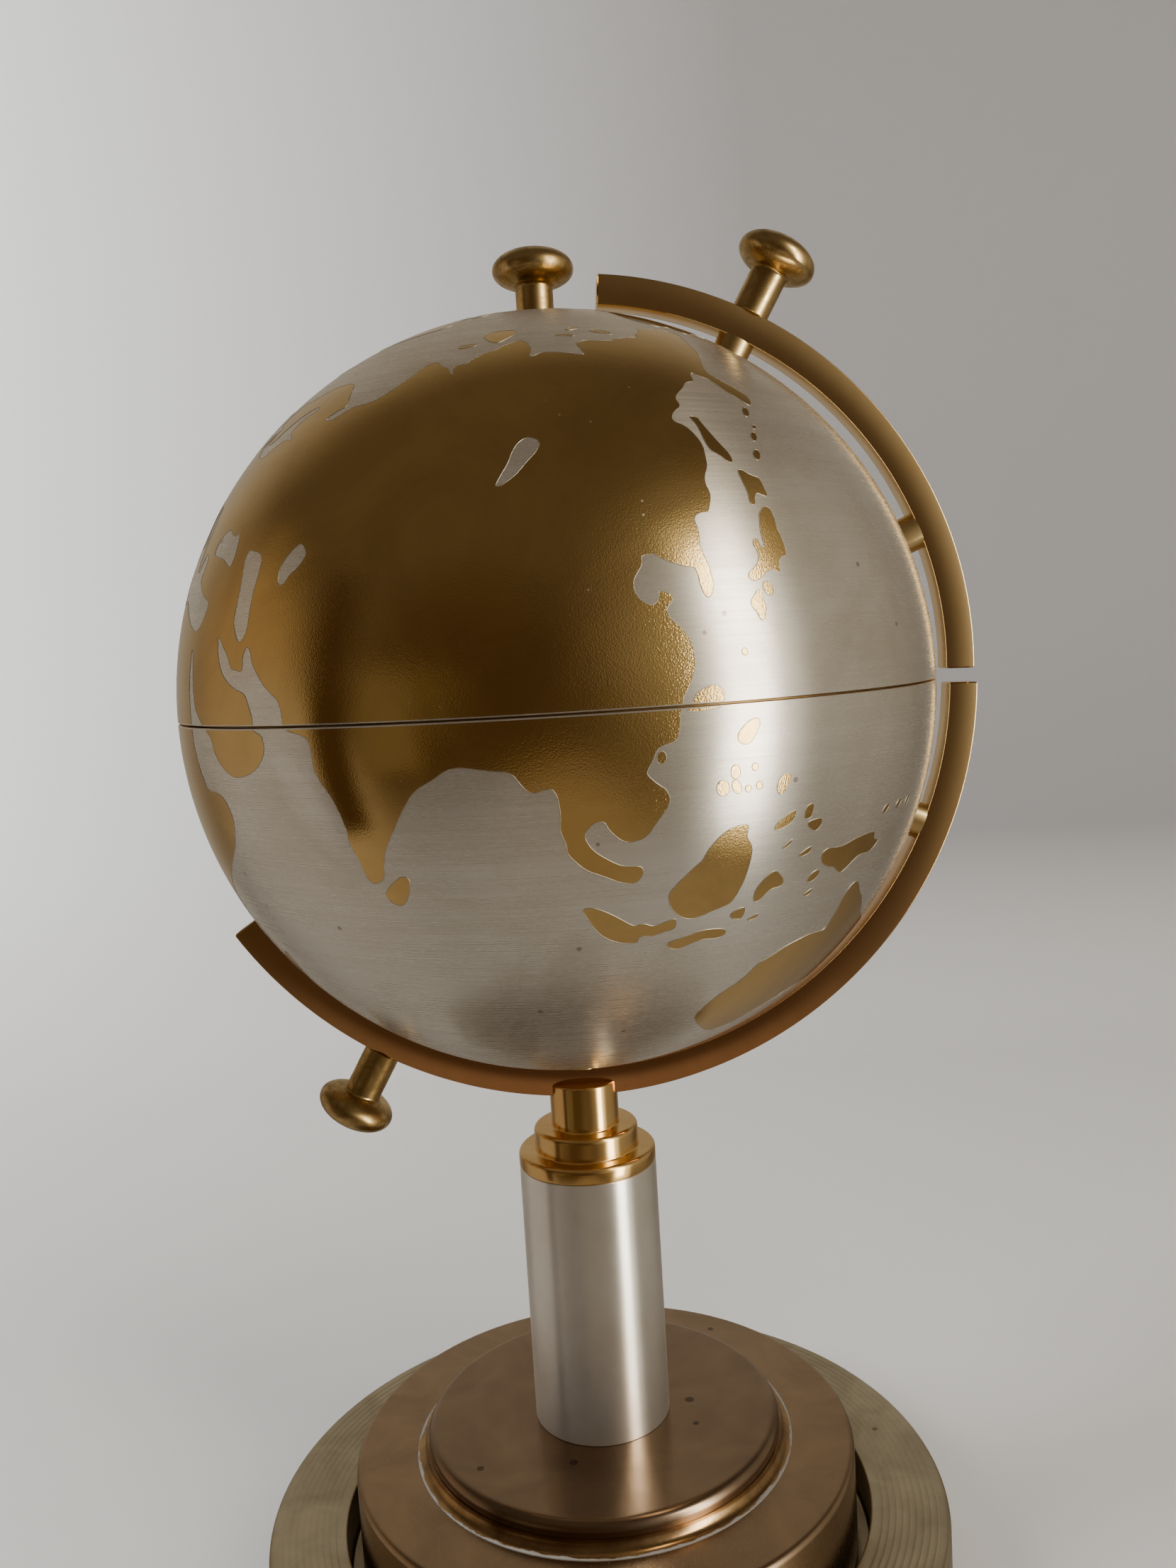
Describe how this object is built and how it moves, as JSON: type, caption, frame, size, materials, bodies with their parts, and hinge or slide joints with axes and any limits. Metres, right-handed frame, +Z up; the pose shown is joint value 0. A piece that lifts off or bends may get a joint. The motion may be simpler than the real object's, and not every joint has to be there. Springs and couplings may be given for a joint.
{
  "type": "desktop globe on stand",
  "caption": "Metal desk globe split at its middle into a bowl and a lift-off lid, with a split square meridian bar and knobs, on a column over a stepped round swivel base.",
  "frame": {"origin": "centre of the underside of the felt, on the table", "axes": "+Z up along the column, +X towards the side where the meridian bar passes the seam, -Y towards the front of the map"},
  "size_m": [0.1074, 0.1, 0.186],
  "materials": {
    "felt": "matte",
    "foot_brass": "lathe-turned satin, aged olive",
    "bush_brass": "satin",
    "nylon": "matte",
    "drum_bronze": "aged satin bronze",
    "iron": "rough",
    "cove_bronze": "aged satin bronze with a grey residue line",
    "plate_bronze": "aged satin bronze",
    "column_silver": "satin",
    "collar_gold": "polished gilt",
    "fastener_steel": "plain",
    "globe_silver": "satin silver with polished gilt land",
    "bar_gold": "polished gilt with orange patina",
    "knob_brass": "aged speckled brass",
    "washer_dark": "blackened"
  },
  "bodies": {
    "foot": {"felt_pad": "felt", "foot_ring": "foot_brass", "pivot_bush": "bush_brass", "thrust_washer": "nylon"},
    "stand": {"drum": "drum_bronze", "ballast": "iron", "cove_ring": "cove_bronze", "top_plate": "plate_bronze", "column": "column_silver", "collar": "collar_gold", "tie_rod": "fastener_steel", "tie_nut": "fastener_steel", "spring_washer": "fastener_steel", "bowl": "globe_silver", "rim_ring": "bush_brass", "lower_meridian": "bar_gold", "bottom_spacer": "bush_brass", "centre_screw": "fastener_steel", "centre_washer": "fastener_steel", "lower_axis_knob": "knob_brass", "lower_axis_spacer": "bush_brass", "lower_axis_nut": "fastener_steel", "lower_standoff": "bush_brass", "lower_standoff_screw": "fastener_steel"},
    "lid": {"lid": "globe_silver", "upper_meridian": "bar_gold", "top_knob": "knob_brass", "top_knob_washer": "washer_dark", "top_knob_nut": "fastener_steel", "upper_axis_knob": "knob_brass", "upper_axis_spacer": "bush_brass", "upper_axis_nut": "fastener_steel", "upper_standoff": "bush_brass", "upper_standoff_screw": "fastener_steel"}
  },
  "joints": [
    {"name": "base_swivel", "type": "hinge", "parent": "foot", "child": "stand", "pos_m": [0, 0, 0.0082], "axis": [0, 0, 1], "continuous": true},
    {"name": "lid_lift", "type": "slide", "parent": "stand", "child": "lid", "axis": [0, 0, 1], "range_m": [0, 0.06]}
  ]
}
